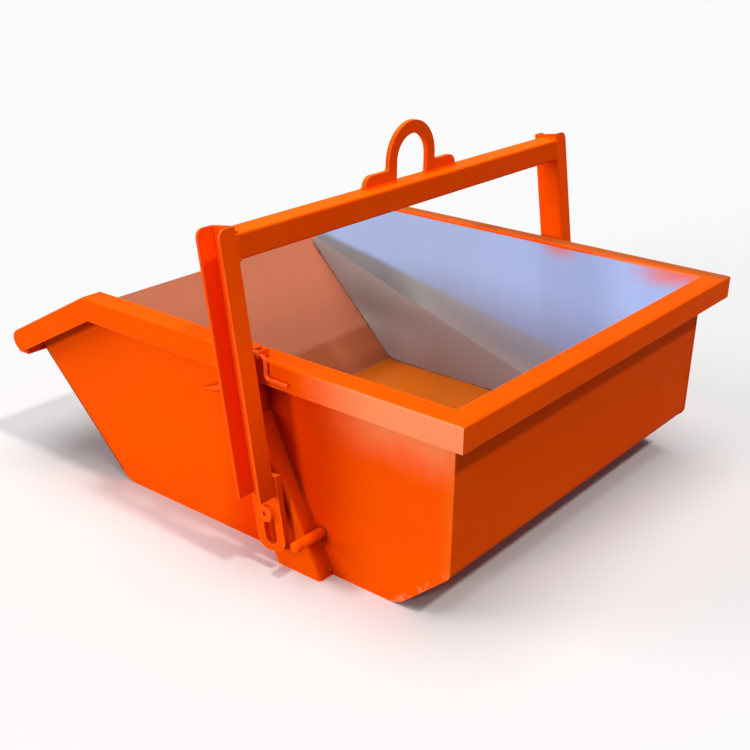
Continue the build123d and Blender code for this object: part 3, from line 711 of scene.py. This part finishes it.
class WeldBeads:
    """Rippled weld beads that all ride on one body, gathered into one piece."""

    STEP = 0.004
    LEAST_STEPS = 2
    ARC = 6
    COLLAR_STEPS = 28
    FLAT_SHARE = 0.86
    RIPPLE_SHARE = 0.14
    RIPPLE_TURN = 1.9
    UNEVEN = 0.06
    QUARTER = 90.0
    HALF = 180.0

    def __init__(self, seed):
        self.chance = Random(seed)
        self.points = []
        self.faces = []

    def run(self, path, u, v, sweep=QUARTER):
        """A bead along the path. Its section turns from u to v, which give its size, over sweep degrees."""
        rings = []
        for start, end in zip(path, path[1:]):
            count = max(self.LEAST_STEPS, round((end - start).length / self.STEP))
            rings += [start.lerp(end, k / count) for k in range(count)]
        rings.append(path[-1])
        first = len(self.points)
        size = self.ARC + 2
        for k, place in enumerate(rings):
            ripple = self.RIPPLE_SHARE * abs(math.sin(k * self.RIPPLE_TURN))
            swell = self.FLAT_SHARE + ripple + self.chance.uniform(-self.UNEVEN, self.UNEVEN)
            self.points.append(place)
            for a in range(self.ARC + 1):
                angle = math.radians(sweep * a / self.ARC)
                self.points.append(place + (u * math.cos(angle) + v * math.sin(angle)) * swell)
        for k in range(len(rings) - 1):
            ring = first + k * size
            for a in range(size):
                b = (a + 1) % size
                self.faces.append((ring + a, ring + b, ring + size + b, ring + size + a))
        self.faces.append(tuple(range(first + size - 1, first - 1, -1)))
        last = len(self.points) - size
        self.faces.append(tuple(range(last, last + size)))

    def collar(self, centre, radius, outward, size):
        """A bead round a bar that stands on a plate with that outward normal along Y."""
        for k in range(self.COLLAR_STEPS):
            angles = [math.tau * (k + e) / self.COLLAR_STEPS for e in (0, 1)]
            spokes = [Vector((math.cos(a), 0, math.sin(a))) for a in angles]
            middle = (spokes[0] + spokes[1]) * (size / 2)
            self.run([centre + s * radius for s in spokes], middle, outward * size)

    def piece(self, name, body, material):
        """Make the beads one object on that body, with that material and slot."""
        mesh = bpy.data.meshes.new(name)
        mesh.from_pydata(self.points, [], self.faces)
        mesh.shade_smooth()
        mesh.materials.append(material)
        made = bpy.data.objects.new(name, mesh)
        bpy.context.scene.collection.objects.link(made)
        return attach(made, body)


def bent(corners, radii, steps=6):
    """The outline with those radii at its inner corners, each bend in short steps."""
    path = corners[:1]
    for before, corner, after, radius in zip(corners, corners[1:], corners[2:], radii):
        back = (before - corner).normalized()
        ahead = (after - corner).normalized()
        half = back.angle(ahead) / 2
        centre = corner + (back + ahead).normalized() * (radius / math.sin(half))
        first, last = (corner + way * (radius / math.tan(half)) - centre for way in (back, ahead))
        path += [centre + first.lerp(last, k / steps).normalized() * radius for k in range(steps + 1)]
    return path + corners[-1:]


# Beads of the tub: their sizes, and how far they stay from the ends of their seams.
SEAM_HALF_WIDTH = 0.0045
SEAM_HEIGHT = 0.002
SEAM_TOP_GAP = 0.006
SEAM_LIP_GAP = 0.02
SEAM_GROUND_GAP = 0.003
INNER_BEAD = 0.004
BRACKET_BEAD = 0.006
BRACKET_FOOT_GAP = 0.008
BRACKET_TOP_GAP = 0.004
STUB_BEAD = 0.004
LATCH_EYE_BEAD = 0.003
LATCH_EYE_INNER_GAP = 0.002
LATCH_EYE_RIM_GAP = 0.004


def tub_welds(material, worn_material):
    """Beads of the tub: along its seams outside and inside, and round what is welded to its sides and rim."""
    beads = WeldBeads(11)
    inner_beads = WeldBeads(17)
    panel_low, panel_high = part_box("rear_panel")
    _, slope_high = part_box("front_slope_plate")
    _, rim_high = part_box("rim_angle_rear")
    outline = [
        Vector((panel_low.x, 0, panel_high.z - SEAM_TOP_GAP)),
        Vector((panel_low.x, 0, CHAMFER_TOP)),
        Vector((FLOOR_REAR, 0, 0)),
        Vector((FLOOR_FRONT, 0, 0)),
        Vector((slope_high.x - SEAM_LIP_GAP, 0, slope_high.z - SEAM_LIP_GAP)),
    ]
    wall = panel_high.x - panel_low.x
    seam = bent(outline, TUB_BENDS)
    for sign in (1, -1):
        out = Vector((0, sign, 0))
        side = "near" if sign > 0 else "far"
        inner = out * panel_high.y
        side_low, side_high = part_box(f"side_plate_{side}")
        outer_y = side_high.y if sign > 0 else side_low.y
        for start, end in zip(seam, seam[1:]):
            along = (end - start).normalized()
            inward = Vector((-along.z, 0, along.x))
            corner = [p + inner + inward * wall for p in (start, end)]
            inner_beads.run(corner, inward * INNER_BEAD, out * -INNER_BEAD)
            if min(start.z, end.z) > SEAM_GROUND_GAP:
                for way in (out, -out):
                    path = [start + inner, end + inner]
                    beads.run(path, way * SEAM_HALF_WIDTH, inward * -SEAM_HEIGHT, WeldBeads.HALF)

        bracket_low, bracket_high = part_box(f"pivot_bracket_{side}")
        foot = Vector((bracket_low.x, outer_y, 0.0))
        across = Vector((BRACKET_WIDTH / math.cos(BRACKET_LEAN), 0, 0))
        rear_length = bracket_high.z / math.cos(BRACKET_LEAN)
        front_length = rear_length - BRACKET_WIDTH * math.tan(BRACKET_LEAN)
        for corner, length, away in ((foot, rear_length, -1), (foot + across, front_length, 1)):
            path = [corner + BRACKET_UP * BRACKET_FOOT_GAP, corner + BRACKET_UP * (length - BRACKET_TOP_GAP)]
            beads.run(path, BRACKET_AHEAD * (BRACKET_BEAD * away), out * BRACKET_BEAD)

        stub_low, stub_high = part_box(f"tipping_stop_{side}")
        middle = (stub_low + stub_high) / 2
        beads.collar(Vector((middle.x, outer_y, middle.z)), (stub_high.x - stub_low.x) / 2, out, STUB_BEAD)

    for node in ("latch_eye_rear", "latch_eye_front"):
        low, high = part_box(node)
        for x, away in ((low.x, -1), (high.x, 1)):
            ends = (low.y + LATCH_EYE_INNER_GAP, rim_high.y - LATCH_EYE_RIM_GAP)
            path = [Vector((x, y, rim_high.z)) for y in ends]
            beads.run(path, FORWARD * (LATCH_EYE_BEAD * away), UP * LATCH_EYE_BEAD)
    beads.piece("tub_welds", "tub", material)
    inner_beads.piece("tub_inner_welds", "tub", worn_material)


# Beads of the bail.
BEAM_BEAD = 0.005
BEAM_CORNER_GAP = 0.006
HEEL_BEAD = 0.0065
HEEL_LOW_SETBACK = 0.001
HEEL_HIGH_SETBACK = 0.008
EYE_BEAD = 0.0045
LUG_BEAD = 0.004
LUG_BEAD_HALF_LENGTH = 0.031


def bail_welds(material):
    """Beads of the bail: at the ends of its beam, under its eye and where its lugs meet the legs."""
    beads = WeldBeads(23)
    beam_low, beam_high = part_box("cross_beam")
    eye_low, eye_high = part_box("lifting_eye")
    ahead_gap = FORWARD * BEAM_CORNER_GAP
    up_gap = UP * BEAM_CORNER_GAP
    for sign in (1, -1):
        out = Vector((0, sign, 0))
        y = sign * beam_high.y
        front_top = Vector((beam_high.x, y, beam_high.z))
        front_low = Vector((beam_high.x, y, beam_low.z))
        rear_top = Vector((beam_low.x, y, beam_high.z))
        rear_low = Vector((beam_low.x, y, beam_low.z))
        beads.run([rear_top + ahead_gap, front_top - ahead_gap], UP * BEAM_BEAD, out * -BEAM_BEAD)
        beads.run([rear_low + ahead_gap, front_low - ahead_gap], UP * -BEAM_BEAD, out * -BEAM_BEAD)
        beads.run([front_low + up_gap, front_top - up_gap], FORWARD * BEAM_BEAD, out * -BEAM_BEAD)
        heel = [rear_low + FORWARD * HEEL_LOW_SETBACK, rear_top + FORWARD * HEEL_HIGH_SETBACK]
        beads.run(heel, out * HEEL_BEAD, FORWARD * -HEEL_BEAD, WeldBeads.HALF)
        for x, away in ((eye_low.x, -1), (eye_high.x, 1)):
            path = [Vector((x, sign * reach, beam_high.z)) for reach in (EYE_FOOT_START, eye_high.y)]
            beads.run(path, FORWARD * (EYE_BEAD * away), UP * EYE_BEAD)
        end = [Vector((x, sign * eye_high.y, beam_high.z)) for x in (eye_low.x, eye_high.x)]
        beads.run(end, out * EYE_BEAD, UP * EYE_BEAD)

        side = "near" if sign > 0 else "far"
        pin_low, pin_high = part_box(f"pivot_pin_{side}")
        pivot = (pin_low + pin_high) / 2
        foot = Vector((pivot.x, y, pivot.z)) + LEG_UP * LEG_START
        path = [foot + LEG_AHEAD * reach for reach in (-LUG_BEAD_HALF_LENGTH, LUG_BEAD_HALF_LENGTH)]
        beads.run(path, LEG_UP * -LUG_BEAD, out * LUG_BEAD)
    beads.piece("bail_welds", "bail", material)


tub_welds(weld_enamel("tub_weld_enamel", greasy=0.65), worn_weld("worn_weld"))
bail_welds(weld_enamel("bail_weld_enamel", greasy=0.0))

# Studio. The floor and the room look pale, but send less light back to the hopper.
STUDIO_REACH = 90.0
STUDIO_FLOOR_LOOKS = (0.72, 0.7, 0.68)
STUDIO_FLOOR_LIGHTS = (0.26, 0.25, 0.24)
STUDIO_FLOOR_ROUGHNESS = 0.9
ROOM_LOOKS = (1.0, 1.0, 1.0)
ROOM_LIGHTS = (0.14, 0.17, 0.21)
# Each sun: its name, the direction toward it, its strength and its spread in degrees.
SUNS = (
    ("key", (0.12, 0.96, 0.2), 1.35, 12.0),
    ("front", (0.8, 0.55, 0.24), 1.9, 35.0),
    ("overhead", (0.0, 0.0, 1.0), 2.05, 45.0),
    ("rear", (-0.54, 0.03, 0.84), 1.2, 5.0),
)


def in_view(add):
    """1 on the rays that show a surface, straight or in a mirror, and 0 on those that only light it."""
    rays = [add.node("LightPath", output=f"Is {kind} Ray") for kind in ("Camera", "Glossy", "Transmission")]
    return add.math("MINIMUM", rays[0] + rays[1] + rays[2], 1.0)


def studio_floor():
    """A large floor, pale to look at and darker to the light that it sends back."""
    mesh = bpy.data.meshes.new("studio_floor")
    corners = [(x * STUDIO_REACH, y * STUDIO_REACH, 0) for x, y in ((-1, -1), (1, -1), (1, 1), (-1, 1))]
    mesh.from_pydata(corners, [], [(0, 1, 2, 3)])
    finish = Finish("studio_floor")
    colour = finish.mix(in_view(finish.add), STUDIO_FLOOR_LIGHTS, STUDIO_FLOOR_LOOKS)
    mesh.materials.append(finish.done(0.0, Base_Color=colour, Roughness=STUDIO_FLOOR_ROUGHNESS))
    made = bpy.data.objects.new("studio_floor", mesh)
    bpy.context.scene.collection.objects.link(made)


def sun(name, toward, strength, spread):
    """A sun that shines from that direction, with soft edges as wide as its spread in degrees."""
    lamp = bpy.data.lights.new(name, "SUN")
    lamp.energy = strength
    lamp.angle = math.radians(spread)
    made = bpy.data.objects.new(name, lamp)
    made.rotation_mode = "QUATERNION"
    made.rotation_quaternion = Vector(toward).to_track_quat("Z", "Y")
    bpy.context.scene.collection.objects.link(made)


def studio_light():
    """Low key light on the latch side, others from front, top and rear, and a dim room that looks white."""
    for settings in SUNS:
        sun(*settings)
    world = bpy.data.worlds.new("studio")
    bpy.context.scene.world = world
    world.use_nodes = True
    tree = world.node_tree
    add = Wire(tree)
    room = add.mix(in_view(add), ROOM_LIGHTS, ROOM_LOOKS)
    tree.links.new(room.socket, tree.nodes["Background"].inputs["Color"])


# The photograph's camera, fitted to the tub's edges. Its picture is cut a little above its axis.
CAMERA_PLACE = (-1.8858, 2.3268, 1.4938)
CAMERA_YAW = math.radians(-51.327)
CAMERA_PITCH = math.radians(25.62)
CAMERA_ROLL = math.radians(0.781)
CAMERA_SENSOR = 36.0
CAMERA_LENS = 55.47
CAMERA_SHIFT = 0.0733


def photo_camera():
    """A camera on the photograph's axis: turned by its yaw, down by its pitch and over by its roll."""
    level = math.cos(CAMERA_PITCH)
    ahead = Vector((level * math.cos(CAMERA_YAW), level * math.sin(CAMERA_YAW), -math.sin(CAMERA_PITCH)))
    right = ahead.cross(UP).normalized()
    above = right.cross(ahead)
    right, above = (
        right * math.cos(CAMERA_ROLL) + above * math.sin(CAMERA_ROLL),
        above * math.cos(CAMERA_ROLL) - right * math.sin(CAMERA_ROLL),
    )
    lens = bpy.data.cameras.new("photo_camera")
    lens.sensor_width = CAMERA_SENSOR
    lens.lens = CAMERA_LENS
    lens.shift_y = CAMERA_SHIFT
    made = bpy.data.objects.new("photo_camera", lens)
    turn = Matrix((right, above, -ahead)).transposed().to_4x4()
    made.matrix_world = Matrix.Translation(CAMERA_PLACE) @ turn
    bpy.context.scene.collection.objects.link(made)
    bpy.context.scene.camera = made


studio_floor()
studio_light()
photo_camera()
bpy.context.scene.view_settings.view_transform = "Standard"
